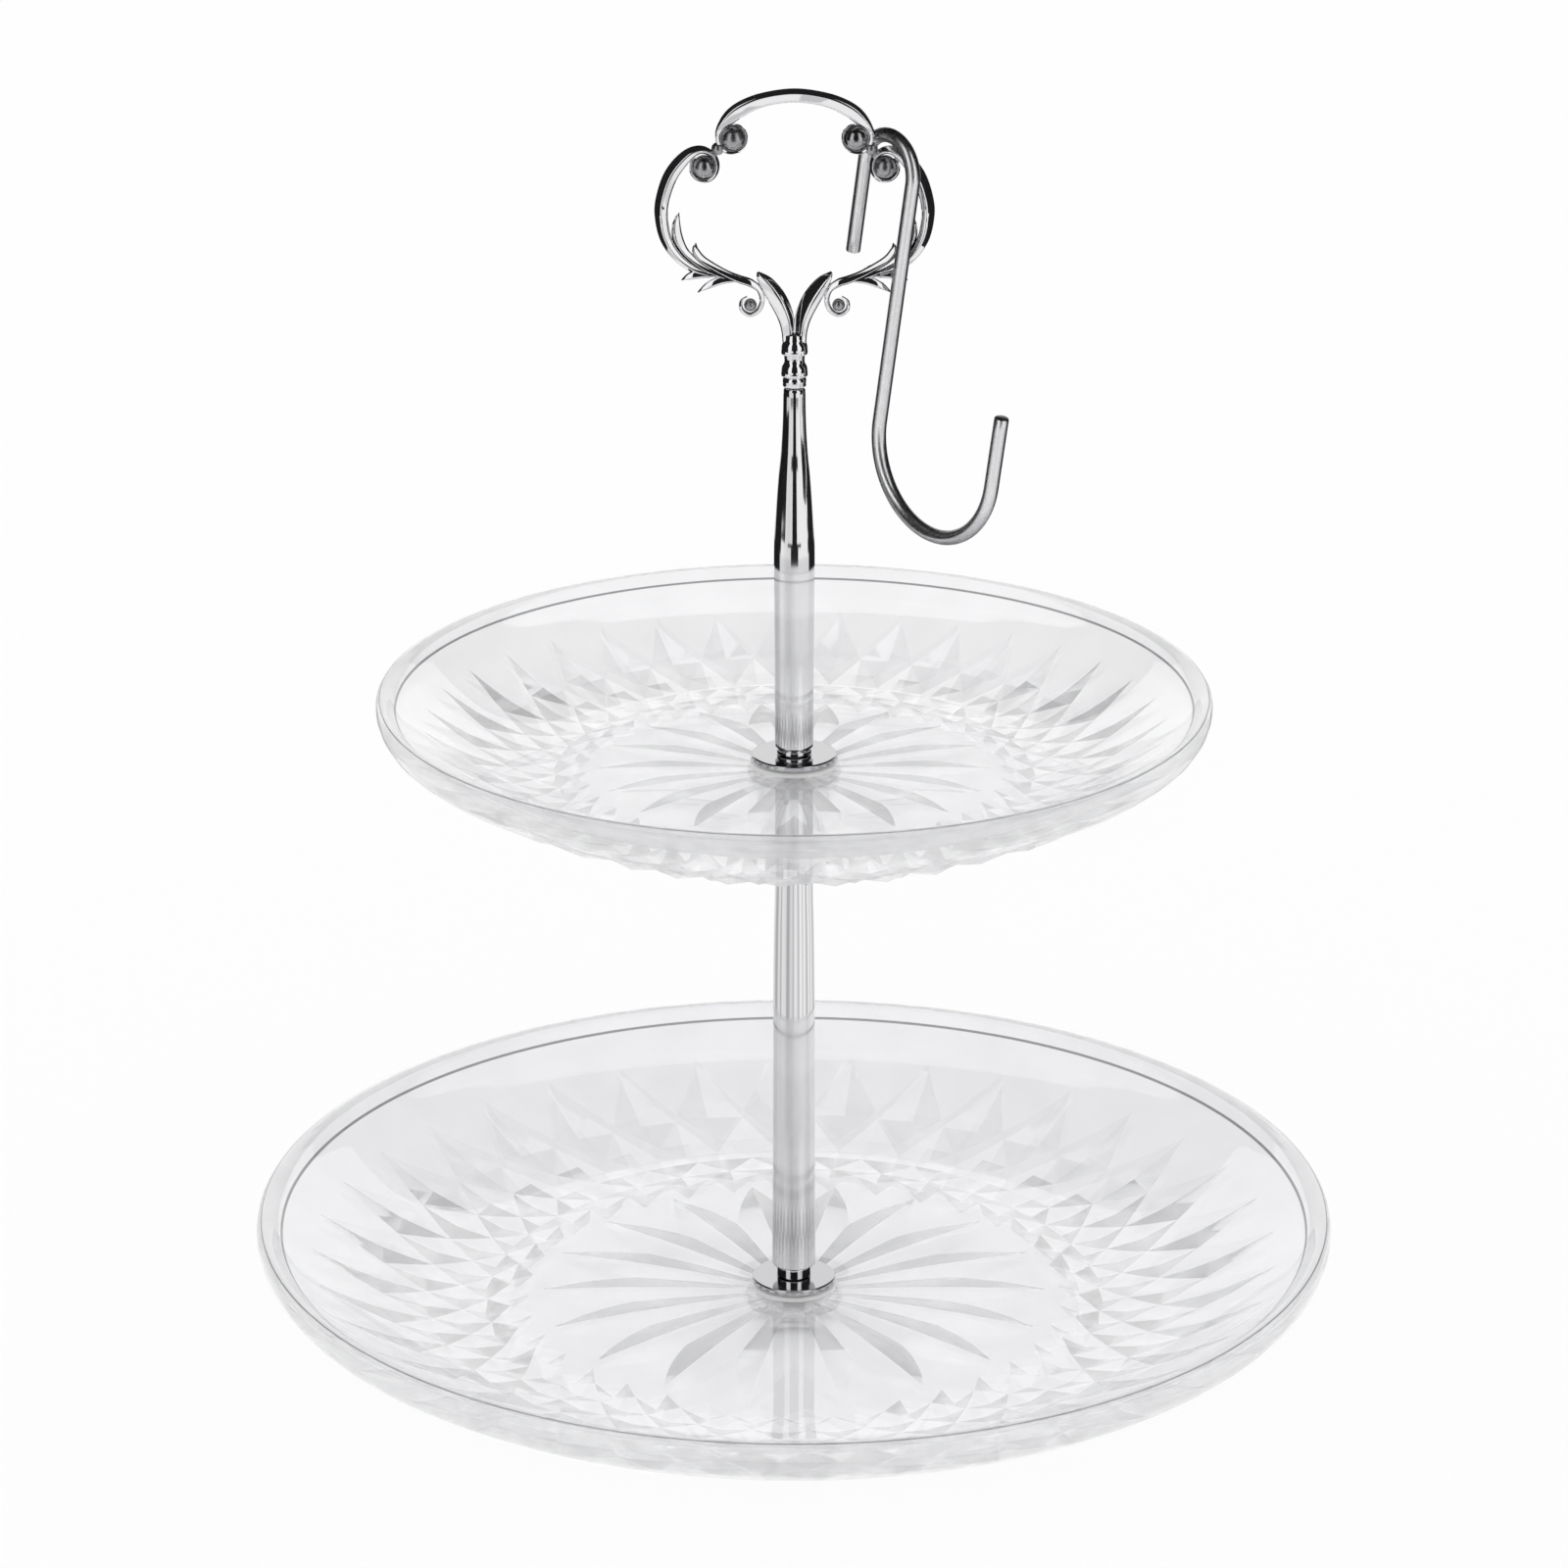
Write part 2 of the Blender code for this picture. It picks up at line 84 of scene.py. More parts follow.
# The rim's outline, from the darts' tips up the outside, over the crest and down the inside.
# Its points are fractions of radius on the groove's curve, and then (radius, height) fractions.
OUTSIDE = (0.935, 0.947, 0.958, 0.969, 0.979, 0.987, 0.993)
RIM = ((0.997, 0.845), (0.9992, 0.87), (1.0, 0.90), (1.0, 0.935), (0.9985, 0.965),
       (0.9955, 0.985), (0.9932, 0.992))
CREST = ((0.991, 0.997), (0.9865, 1.0), (0.982, 0.995), (0.976, 0.978), (0.969, 0.948),
         (0.961, 0.915), (0.957, 0.9))

# Rows of faces along the darts, columns across the wall between them, and rows down the inside.
WALL_ROWS = 10
WALL_COLUMNS = 6
INSIDE_ROWS = 26

# The plate's materials, in the order of its mesh's slots.
# The second slot is painted shade: a near-black copy of the plastic, on two thin bands along the
# rim.
CLEAR, LIP_PAINTED_SHADE, CUT = range(3)

PLATE_HOLE = 3.2 * MM
PLATE_GAP = 0.3 * MM  # between a plate and the soft rings on its two faces
ROUND = 96  # segments of posts and washers
DISC_BORE = 2.7 * MM  # holes of the washers, gaskets and sleeves


# ---------------------------------------------------------------- mesh helpers


def new_object(name, bm, material, sharp_degrees=None):
    """An object from a bmesh, shaded smooth but for its marked edges and those over an angle."""
    for face in bm.faces:
        face.smooth = True
    if sharp_degrees is not None:
        crease(bm.edges, sharp_degrees)
    mesh = bpy.data.meshes.new(name)
    bm.to_mesh(mesh)
    bm.free()
    mesh.materials.append(material)
    obj = bpy.data.objects.new(name, mesh)
    bpy.context.scene.collection.objects.link(obj)
    return obj


def crease(edges, degrees):
    """Marks the edges that bend by more than an angle as sharp."""
    for edge in edges:
        if len(edge.link_faces) == 2 and edge.calc_face_angle() > math.radians(degrees):
            edge.smooth = False


def ring_of(bm, r, z):
    """A ring of vertices about the Z axis, or one vertex repeated where the radius is zero."""
    if r < 1e-7:
        return [bm.verts.new((0, 0, z))] * ROUND
    turns = [2 * math.pi * k / ROUND for k in range(ROUND)]
    return [bm.verts.new((r * math.cos(a), r * math.sin(a), z)) for a in turns]


def join_rings(bm, low, high, closed=True):
    """Faces between two rows of vertices, leaving out the corners that coincide."""
    count = len(low)
    faces = []
    for k in range(count if closed else count - 1):
        j = (k + 1) % count
        corners = list(dict.fromkeys((low[k], low[j], high[j], high[k])))
        if len(corners) > 2 and bm.faces.get(corners) is None:
            faces.append(bm.faces.new(corners))
    return faces


def lathe(name, outline, material):
    """A closed outline of (radius, height) turned about the Z axis."""
    bm = bmesh.new()
    rings = [ring_of(bm, r, z) for r, z in outline]
    for ring, after in zip(rings, rings[1:] + rings[:1]):
        join_rings(bm, ring, after)
    bmesh.ops.recalc_face_normals(bm, faces=bm.faces)
    return new_object(name, bm, material, sharp_degrees=30)


def catmull(points, steps):
    """A smooth line through points of any dimension."""
    padded = [points[0], *points, points[-1]]
    line = []
    for a, b, c, d in zip(padded, padded[1:], padded[2:], padded[3:]):
        for step in range(steps):
            t = step / steps
            line.append(tuple(
                0.5 * (2 * q + (r - p) * t + (2 * p - 5 * q + 4 * r - s) * t**2
                       + (3 * q - p - 3 * r + s) * t**3)
                for p, q, r, s in zip(a, b, c, d)
            ))
    line.append(tuple(points[-1]))
    return line


def interpolate(table, x):
    """Linear look-up in rising (x, y) pairs."""
    for (x0, y0), (x1, y1) in zip(table, table[1:]):
        if x <= x1:
            return y0 + (y1 - y0) * (x - x0) / (x1 - x0)
    return table[-1][1]


def rounded(outline, steps=6):
    """Rounds the corners of a closed outline whose points are (radius, height, fillet).

    A point a little before and after each fillet keeps the flats beside it flat when shaded.
    """
    beside = 1.2
    points = []
    for i, (r, z, fillet) in enumerate(outline):
        here = Vector((r, z))
        if fillet == 0:
            points.append(tuple(here))
            continue
        back = (Vector(outline[i - 1][:2]) - here).normalized()
        ahead = (Vector(outline[(i + 1) % len(outline)][:2]) - here).normalized()
        half = back.angle(ahead) / 2
        reach = fillet / math.tan(half)
        centre = here + (back + ahead).normalized() * fillet / math.sin(half)
        start = here + back * reach - centre
        sweep = start.angle_signed(here + ahead * reach - centre)
        points.append(tuple(here + back * reach * beside))
        for step in range(steps + 1):
            points.append(tuple(centre + Matrix.Rotation(-sweep * step / steps, 2) @ start))
        points.append(tuple(here + ahead * reach * beside))
    return points


# ---------------------------------------------------------------- the shared frame


def body_of_node(node):
    """The name of the moving body that a CAD node belongs to."""
    bodies = frame["record"]["behaviour"]["bodies"]
    return next(name for name, nodes in bodies.items() if node in nodes)


def stand_in(obj, node):
    """Lets an object ride on a CAD node's body and be shown in its place."""
    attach(obj, body_of_node(node))
    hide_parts(node)
    return obj


def joint_named(name):
    """A joint's record, which gives its place and its axis."""
    return next(j for j in frame["record"]["behaviour"]["joints"] if j["name"] == name)


def size_of(node):
    """(lowest height, highest height, radius) of a turned CAD node."""
    low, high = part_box(node)
    return low[2], high[2], (high[0] - low[0]) / 2


# ---------------------------------------------------------------- materials


def principled(name, colour, roughness, metallic=0.0):
    """A plain material, and its shader."""
    material = bpy.data.materials.new(name)
    material.use_nodes = True
    shader = material.node_tree.nodes["Principled BSDF"]
    shader.inputs["Base Color"].default_value = (*colour, 1.0)
    shader.inputs["Roughness"].default_value = roughness
    shader.inputs["Metallic"].default_value = metallic
    return material, shader


def noise(material, scale, detail=3.0, stretch=(1, 1, 1)):
    """Noise over the object's own coordinates, in cycles per metre, stretched along an axis."""
    nodes, links = material.node_tree.nodes, material.node_tree.links
    place = nodes.new("ShaderNodeTexCoord")
    mapping = nodes.new("ShaderNodeMapping")
    mapping.inputs["Scale"].default_value = stretch
    texture = nodes.new("ShaderNodeTexNoise")
    texture.inputs["Scale"].default_value = scale
    texture.inputs["Detail"].default_value = detail
    links.new(place.outputs["Object"], mapping.inputs["Vector"])
    links.new(mapping.outputs["Vector"], texture.inputs["Vector"])
    return texture.outputs["Fac"]


def vary(material, socket, source, low, high):
    """Drives a shader socket between two values by noise, most of which is from 0.3 to 0.7."""
    nodes, links = material.node_tree.nodes, material.node_tree.links
    ranged = nodes.new("ShaderNodeMapRange")
    ranged.inputs["From Min"].default_value = 0.3
    ranged.inputs["From Max"].default_value = 0.7
    ranged.inputs["To Min"].default_value = low
    ranged.inputs["To Max"].default_value = high
    links.new(source, ranged.inputs["Value"])
    links.new(ranged.outputs["Result"], socket)


def colour_by(material, shader, source, low, high):
    """Drives the base colour between two (position, colour) stops by a 0 to 1 source."""
    nodes, links = material.node_tree.nodes, material.node_tree.links
    ramp = nodes.new("ShaderNodeValToRGB")
    for element, (position, colour) in zip(ramp.color_ramp.elements, (low, high)):
        element.position = position
        element.color = (*colour, 1)
    links.new(source, ramp.inputs["Fac"])
    links.new(ramp.outputs["Color"], shader.inputs["Base Color"])


def bump(material, shader, source, distance, strength):
    """Ripples the surface by noise. Distance is in metres."""
    nodes, links = material.node_tree.nodes, material.node_tree.links
    node = nodes.new("ShaderNodeBump")
    node.inputs["Distance"].default_value = distance
    node.inputs["Strength"].default_value = strength
    links.new(source, node.inputs["Height"])
    links.new(node.outputs["Normal"], shader.inputs["Normal"])


def chrome(name, tint, haze):
    """Bright plating with faint haze where it has been handled."""
    material, shader = principled(name, tint, haze, metallic=1.0)
    vary(material, shader.inputs["Roughness"], noise(material, 90), 0.5 * haze, 1.5 * haze)
    bump(material, shader, noise(material, 260, detail=2), 0.00002, 0.25)
    return material


def drawn_chrome():
    """Plating on a drawn tube, whose fine lines run along it."""
    material, shader = principled("drawn_chrome", (0.8, 0.8, 0.8), 0.05, metallic=1.0)
    lines = noise(material, 260, detail=1, stretch=(1, 1, 0.01))
    colour_by(material, shader, lines, (0.36, (0.63, 0.63, 0.64)), (0.6, (0.83, 0.83, 0.835)))
    vary(material, shader.inputs["Roughness"], noise(material, 90), 0.03, 0.09)
    return material


def zinc_steel():
    """Zinc-plated steel with a fine grain."""
    material, shader = principled("zinc_steel", (0.86, 0.86, 0.87), 0.4, metallic=1.0)
    vary(material, shader.inputs["Roughness"], noise(material, 400), 0.32, 0.5)
    bump(material, shader, noise(material, 1500), 0.00003, 0.4)
    return material


def satin_wire_painted_light():
    """Drawn stainless wire: a finely broken surface with a soft sheen. Its colour is painted light:
    a painted highlight where it faces the view, and painted shade towards its edges.
    """
    material, shader = principled("satin_wire_painted_light", (0.6, 0.6, 0.61), 0.25, metallic=1.0)
    # Painted highlight and shade: the base colour runs from nearly white where the wire faces the
    # view to dark grey at its edges.
    weight = material.node_tree.nodes.new("ShaderNodeLayerWeight")
    weight.inputs["Blend"].default_value = 0.35
    bright, dark = (0.05, (0.95, 0.95, 0.96)), (0.5, (0.2, 0.2, 0.205))
    colour_by(material, shader, weight.outputs["Facing"], bright, dark)
    vary(material, shader.inputs["Roughness"], noise(material, 700), 0.25, 0.36)
    bump(material, shader, noise(material, 900, detail=2), 0.00001, 0.3)
    return material


def crystal(name, tint, alpha):
    """Clear polystyrene with the slight ripple and flow marks of a moulded surface."""
    material, shader = principled(name, tint, 0.0)
    shader.inputs["Transmission Weight"].default_value = 0.85
    shader.inputs["IOR"].default_value = 1.5
    shader.inputs["Alpha"].default_value = alpha
    dark, bright = (tuple(share * part for part in tint) for share in (0.96, 1.01))
    colour_by(material, shader, noise(material, 70, detail=4), (0.35, dark), (0.6, bright))
    vary(material, shader.inputs["Roughness"], noise(material, 60), 0.0, 0.006)
    bump(material, shader, noise(material, 45, detail=1), 0.0004, 0.12)
    return material


def clear_gasket():
    """Clear soft plastic, slightly hazy."""
    material, shader = principled("soft_gasket", (1.0, 1.0, 1.0), 0.12)
    shader.inputs["Transmission Weight"].default_value = 0.5
    shader.inputs["IOR"].default_value = 1.4
    shader.inputs["Alpha"].default_value = 0.7
    vary(material, shader.inputs["Roughness"], noise(material, 500), 0.08, 0.2)
    return material


# ---------------------------------------------------------------- plates


class Plate:
    """Sizes of one plate, read from the CAD solids, and the curves of its two faces.

    Floor is the height of its upper face in the middle, and kick that of its raised underside.
    """

    def __init__(self, tier):
        low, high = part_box(f"{tier}_plate")
        gasket_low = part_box(f"{tier}_top_gasket")[0]
        gasket_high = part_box(f"{tier}_under_gasket")[1]
        self.radius = (high[0] - low[0]) / 2
        self.foot = low[2]
        self.height = high[2] - low[2]
        self.floor = gasket_low[2] - PLATE_GAP - self.foot
        self.kick = gasket_high[2] + PLATE_GAP - self.foot

    def place(self, fraction, z, turn):
        """A point from its fraction of the radius, its height over the foot and its azimuth."""
        r = fraction * self.radius
        return (r * math.cos(turn), r * math.sin(turn), self.foot + z)

    def top_z(self, fraction):
        """The smooth upper face."""
        if fraction < FLOOR_EDGE:
            return self.floor
        climb = ((fraction - FLOOR_EDGE) / (WALL_EDGE - FLOOR_EDGE)) ** WALL_CURVE
        return self.floor + (WALL_TOP * self.height - self.floor) * climb

    def envelope_z(self, fraction):
        return interpolate(ENVELOPE, fraction) * self.height

    def groove_z(self, fraction):
        """The bottoms of the grooves, and the smooth wall outside the darts."""
        fade = min(1.0, max(0.0, (1.0 - fraction) / (1.0 - CUT_FADE)))
        return self.envelope_z(fraction) + CUT_DEPTH * self.height * fade


def tooth_turn(ring, k):
    """The azimuth of vertex k on a ring of the lattice. Odd rings are turned by half a tooth."""
    step = 2 * math.pi / TEETH
    return PATTERN_TURN + step * (k + (0.5 if ring % 2 else 0))


def lattice_z(plate, ring):
    """The zigzag's two rings lie on the raised middle, and the others are in the grooves."""
    return plate.kick if ring < 2 else plate.groove_z(LATTICE[ring])


def dart_edge(bm, plate, rings, k, side):
    """Vertices along one long edge of dart k, from its shoulder to its tip. Side is -1 or 1."""
    shoulder, tip = LATTICE[-2], LATTICE[-1]
    half = math.pi / TEETH
    first = rings[-2][k if side > 0 else (k - 1) % TEETH]
    line = [first]
    for row in range(1, WALL_ROWS):
        t = row / WALL_ROWS
        fraction = shoulder + (tip - shoulder) * t
        turn = tooth_turn(len(LATTICE) - 1, k) + side * half * (1 - t) ** DART_CURVE
        line.append(bm.verts.new(plate.place(fraction, plate.groove_z(fraction), turn)))
    return [*line, rings[-1][k]]


def add_diamonds(bm, plate):
    """Rows of four-sided points, whose last row is drawn out into darts.

    Returns the lattice's rings of vertices, and both long edges of every dart.
    """
    rings = [
        [bm.verts.new(plate.place(fraction, lattice_z(plate, i), tooth_turn(i, k)))
         for k in range(TEETH)]
        for i, fraction in enumerate(LATTICE)
    ]
    edges = []
    last_row = len(LATTICE) - 3
    for i in range(last_row + 1):
        middle = LATTICE[i + 1] + POINT_PAST * (LATTICE[i + 2] - LATTICE[i + 1])
        for k in range(TEETH):
            left, right = (k, k - 1) if i % 2 == 0 else ((k + 1) % TEETH, k)
            inner, outer = rings[i][k], rings[i + 2][k]
            left_line = [rings[i + 1][left], outer]
            right_line = [rings[i + 1][right], outer]
            if i == last_row:
                left_line = dart_edge(bm, plate, rings, k, 1)
                right_line = dart_edge(bm, plate, rings, k, -1)
                edges.append((right_line, left_line))
            around = [inner, *right_line, *left_line[-2::-1]]
            point = bm.verts.new(plate.place(middle, plate.envelope_z(middle), tooth_turn(i, k)))
            for a, b in zip(around, around[1:] + around[:1]):
                face = bm.faces.new((a, b, point))
                face.material_index = CLEAR if i == last_row else CUT
    return rings, edges


def add_outer_wall(bm, plate, edges):
    """The smooth wall between the darts, widening from a point to the whole ring of tips."""
    last_row = []
    for k in range(TEETH):
        start_line = edges[k][1]
        end_line = edges[(k + 1) % TEETH][0]
        before = [start_line[0]] * (WALL_COLUMNS + 1)
        for row in range(1, WALL_ROWS + 1):
            fraction = LATTICE[-2] + (LATTICE[-1] - LATTICE[-2]) * row / WALL_ROWS
            first, last = start_line[row], end_line[row]
            start_turn = math.atan2(first.co.y, first.co.x)
            sweep = (math.atan2(last.co.y, last.co.x) - start_turn) % (2 * math.pi)
            here = [first]
            for column in range(1, WALL_COLUMNS):
                turn = start_turn + sweep * column / WALL_COLUMNS
                here.append(bm.verts.new(plate.place(fraction, plate.groove_z(fraction), turn)))
            here.append(last)
            for face in join_rings(bm, before, here, closed=False):
                face.material_index = CUT
            before = here
        last_row.extend(before[:-1])
    return last_row


def add_lip(bm, plate, ring):
    """From the ring of tips up the outside, over the rim and down the inside to the bore."""
    profile = [(f, plate.groove_z(f)) for f in OUTSIDE]
    profile += [(f, share * plate.height) for f, share in RIM]
    crest_line = len(profile)
    profile += [(f, share * plate.height) for f, share in CREST]
    inner_line = len(profile)
    step_in = (WALL_EDGE - FLOOR_EDGE) / INSIDE_ROWS
    inside = [WALL_EDGE - step_in * k for k in range(INSIDE_ROWS + 1)]
    profile += [(f, plate.top_z(f)) for f in inside]
    bore = PLATE_HOLE / plate.radius
    profile += [(0.35, plate.floor), (0.15, plate.floor), (bore, plate.floor), (bore, plate.kick)]
    count = len(ring)
    step = 2 * math.pi / count
    before = ring
    for row, (fraction, z) in enumerate(profile):
        here = [bm.verts.new(plate.place(fraction, z, PATTERN_TURN + step * k))
                for k in range(count)]
        # The bands on both sides of the crest get the near-black material: painted shade, as dark
        # lines along the rim.
        if row in (crest_line, inner_line):
            material_index = LIP_PAINTED_SHADE
        else:
            material_index = CUT if row < crest_line else CLEAR
        for face in join_rings(bm, before, here):
            face.material_index = material_index
        before = here
    return before


def petal_depth(plate, fraction):
    """How deep a flute of the star is cut along its middle line."""
    along = (fraction - PETAL_MIDDLE) / PETAL_REACH
    return PETAL_DEPTH * plate.height * max(0.0, 1 - along * along)


def add_star(bm, plate, columns=5, rows=40):
    """V-cut flutes between the hub and the teeth. Returns the inner row and the outer row."""
    half = math.pi / PETALS
    grid = []
    for row in range(rows + 1):
        fraction = STAR_INNER + (STAR_OUTER - STAR_INNER) * row / rows
        r = fraction * plate.radius
        depth = petal_depth(plate, fraction)
        edge = max(0.1 * half, min(half, depth / FLUTE_SLOPE / r))
        # From a flute's middle line to its edge, on to half way to the next flute, and mirrored.
        offsets = [edge * c / columns for c in range(columns + 1)]
        offsets += [edge + (half - edge) * c / 3 for c in range(1, 3)]
        whole = offsets + [half] + [2 * half - o for o in offsets[:0:-1]]
        here = []
        for k in range(PETALS):
            for offset in whole:
                across = min(offset, 2 * half - offset)
                z = plate.kick + max(0.0, depth - FLUTE_SLOPE * across * r)
                here.append(bm.verts.new(plate.place(fraction, z, 2 * half * k + offset)))
        if grid:
            join_rings(bm, grid[-1], here)
        grid.append(here)
    return grid[0], grid[-1]


def loop_edges(bm, ring):
    """The edges round a closed loop of vertices, made where there are none."""
    pairs = zip(ring, ring[1:] + ring[:1])
    return [bm.edges.get(pair) or bm.edges.new(pair) for pair in pairs]


def fill_between(bm, inner, outer):
    """Triangles in the flat ring between two loops of different counts."""
    edges = loop_edges(bm, inner) + loop_edges(bm, outer)
    return bmesh.ops.triangle_fill(bm, edges=edges, use_beauty=True)


def crystal_plate(tier, materials):
    """A pressed plate. The materials are in the order of CLEAR, LIP_PAINTED_SHADE and CUT."""
    plate = Plate(tier)
    bm = bmesh.new()
    rings, edges = add_diamonds(bm, plate)
    zigzag = [vert for pair in zip(rings[0], rings[1]) for vert in pair]
    tips = add_outer_wall(bm, plate, edges)
    hub, star_rim = add_star(bm, plate)
    fill_between(bm, star_rim, zigzag)
    cut = set(bm.faces)
    bore = add_lip(bm, plate, tips)
    fill_between(bm, bore, hub)
    bmesh.ops.remove_doubles(bm, verts=bm.verts, dist=1e-6)
    bmesh.ops.recalc_face_normals(bm, faces=bm.faces)
    cut_edges = {edge for face in cut if face.is_valid for edge in face.edges}
    crease(cut_edges, 8)
    obj = new_object(f"{tier}_crystal_plate", bm, materials[CLEAR])
    obj.data.materials.append(materials[LIP_PAINTED_SHADE])
    obj.data.materials.append(materials[CUT])
    obj.visible_shadow = False
    obj.visible_diffuse = False
    return stand_in(obj, f"{tier}_plate")


def build_plates():
    """The upper plate gets clearer plastic, and so do both plates' small points and outer walls."""
    # A near-black copy of the clear plastic, for two thin bands along the rim: painted shade.
    lip_painted_shade = crystal("crystal_lip_painted_shade", (0.07, 0.07, 0.075), 0.85)
    thick = crystal("crystal_thick", (0.84, 0.84, 0.862), 0.85)
    thick_cut = crystal("crystal_thick_cut", (0.88, 0.88, 0.9), 0.6)
    thin = crystal("crystal_thin", (0.91, 0.91, 0.928), 0.75)
    thin_cut = crystal("crystal_thin_cut", (0.94, 0.94, 0.955), 0.5)
    crystal_plate("lower", (thick, lip_painted_shade, thick_cut))
    crystal_plate("upper", (thin, lip_painted_shade, thin_cut))


# ---------------------------------------------------------------- posts, washers and gaskets


def tube(node, shape, bore, material):
    """A hollow post. Shape is its outside from foot to top, as (share of height, radius in mm)."""
    low, high, _ = size_of(node)
    outside = [(radius * MM, low + share * (high - low)) for share, radius in catmull(shape, 6)]
    foot_r, top_r = outside[0][0], outside[-1][0]
    edge = 0.6 * MM
    rolls = (0, 0.4, 0.8, 1.2)  # angles in radians, round the edges of both ends
    rolled_foot = [(foot_r - edge * (1 - math.sin(a)), low + edge * (1 - math.cos(a)))
                   for a in rolls]
    body = [(r, z) for r, z in outside if low + edge < z < high - edge]
    rolled_top = [(top_r - edge * (1 - math.sin(a)), high - edge * (1 - math.cos(a)))
                  for a in rolls[::-1]]
    inside = [(bore, high), (bore, low)]
    obj = lathe(f"{node}_tube", rolled_foot + body + rolled_top + inside, material)
    return stand_in(obj, node)


def rolled_disc(node, edge, material):
    """A washer or a soft ring, whose outer edges are rounded."""
    low, high, radius = size_of(node)
    outline = [(DISC_BORE, low, 0), (radius, low, edge), (radius, high, edge),
               (DISC_BORE, high, 0)]
    obj = lathe(f"{node}_disc", rounded(outline), material)
    return stand_in(obj, node)


def sleeve(node, tube_end, material):
    """The insert in a tube's end: a collar outside the tube, and a shank inside it."""
    low, high, _ = size_of(node)
    foot = abs(tube_end - low) < abs(tube_end - high)
    outer, inner, way = (low, high, 1) if foot else (high, low, -1)
    shoulder = tube_end - way * 0.3 * MM
    collar_end, collar_shoulder, shank = 4.15 * MM, 4.1 * MM, 3.4 * MM
    outline = [(DISC_BORE, outer, 0), (collar_end, outer, 0.15 * MM),
               (collar_shoulder, shoulder, 0.25 * MM), (shank, shoulder, 0),
               (shank, inner, 0.2 * MM), (DISC_BORE, inner, 0)]
    obj = lathe(f"{node}_collar", rounded(outline, steps=3), material)
    return stand_in(obj, node)


def build_posts():
    """The two tubes: the upper one drawn in to a slim neck, the lower one slightly tapered."""
    drawn = drawn_chrome()
    upper = [(0, 4.55), (0.2, 4.57), (0.4, 4.66), (0.5, 4.75), (0.57, 4.7), (0.62, 4.48),
             (0.695, 4.12), (0.77, 3.62), (0.84, 3.05), (0.915, 2.72), (1.0, 2.6)]
    lower = [(0, 5.3), (0.1, 5.22), (0.3, 5.08), (0.55, 4.98), (0.7, 4.8), (0.83, 4.48), (1, 4.45)]
    tube("upper_post", upper, 1.8 * MM, drawn)
    tube("lower_post", lower, 3.7 * MM, drawn)


def build_discs(steel):
    """The washers and the soft rings."""
    pressed = chrome("chrome_washer", (0.55, 0.55, 0.56), 0.1)
    soft = clear_gasket()
    for node in ("lower_flange_washer", "upper_flange_washer", "upper_support_washer"):
        rolled_disc(node, 0.4 * MM, pressed)
    rolled_disc("base_washer", 0.45 * MM, steel)
    for node in ("lower_top_gasket", "upper_top_gasket", "lower_under_gasket",
                 "upper_under_gasket"):
        rolled_disc(node, 0.3 * MM, soft)


def build_sleeves(plating):
    """The inserts, each with its collar against the end of a post."""
    foot, top = 0, 1
    for post, end, node in (("lower_post", foot, "lower_post_foot_insert"),
                            ("lower_post", top, "lower_post_top_insert"),
                            ("upper_post", foot, "upper_post_foot_insert")):
        sleeve(node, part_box(post)[end][2], plating)


# ---------------------------------------------------------------- handle and hook

# The right half of the ring, as centre lines of (x, z, width) in millimetres. Each runs so that
# the ring's outside is on its left.
ARC = [(-14.4, 297.8, 0.3), (-12.4, 297.4, 0.6), (-11.0, 295.8, 0.8), (-11.2, 293.4, 0.9),
       (-12.6, 291.8, 1.0), (-15.2, 291.5, 1.1), (-17.0, 293.2, 1.3), (-17.2, 296.0, 1.8),
       (-15.0, 299.1, 3.1), (-12.1, 301.4, 3.5), (-7.2, 303.5, 3.2), (0, 304.5, 3.2)]
LOBE = [(22.5, 290.1, 0.3), (23.5, 288.7, 0.6), (23.4, 286.7, 0.8), (21.9, 285.1, 0.9),
        (19.6, 284.9, 1.0), (18.0, 286.4, 1.1), (17.6, 288.7, 1.2), (18.7, 290.9, 1.4),
        (21.4, 292.0, 1.9), (24.6, 290.4, 2.9), (28.1, 286.0, 3.3), (30.1, 280.0, 3.2),
        (30.2, 275.6, 3.1), (29.2, 271.0, 2.7), (26.6, 267.0, 2.3), (23.1, 264.2, 1.9),
        (19.6, 262.9, 1.5)]
INNER_HIGH = [(26.3, 277.4, 0.3), (26.9, 274.8, 1.9), (26.7, 271.8, 2.5), (25.2, 268.6, 2.0),
              (22.6, 265.9, 1.7), (19.4, 263.8, 1.5), (15.6, 262.2, 1.3)]
INNER_LOW = [(22.5, 270.4, 0.3), (22.6, 268.6, 1.7), (21.2, 266.6, 1.9), (18.6, 264.8, 1.8),
             (15.4, 263.0, 1.8), (12.6, 261.8, 2.0), (10.0, 260.9, 2.0), (8.0, 259.3, 1.5),
             (7.4, 256.8, 1.3), (8.3, 254.4, 1.2), (10.2, 253.4, 1.1), (12.0, 254.5, 1.0),
             (12.2, 256.5, 0.8), (10.8, 257.7, 0.5)]
OUTER_HIGH = [(25.8, 261.6, 0.3), (23.6, 262.6, 1.9), (20.6, 263.1, 2.2), (17.4, 262.8, 1.2)]
OUTER_LOW = [(22.1, 258.7, 0.3), (19.4, 260.5, 1.8), (16.0, 261.7, 2.0), (12.6, 261.7, 1.2)]
WING = [(8.5, 263.6, 0.3), (7.9, 262.6, 1.8), (6.2, 260.6, 3.5), (3.9, 257.2, 4.2),
        (2.1, 253.2, 3.8), (1.4, 249.5, 3.2), (1.2, 245.2, 3.0)]

# The balls on the right half, as (x, z, radius).
SCROLL_BALLS = [(13.9, 294.7, 2.9), (20.5, 288.0, 2.75), (10.1, 255.7, 1.5), (17.4, 292.2, 1.5)]

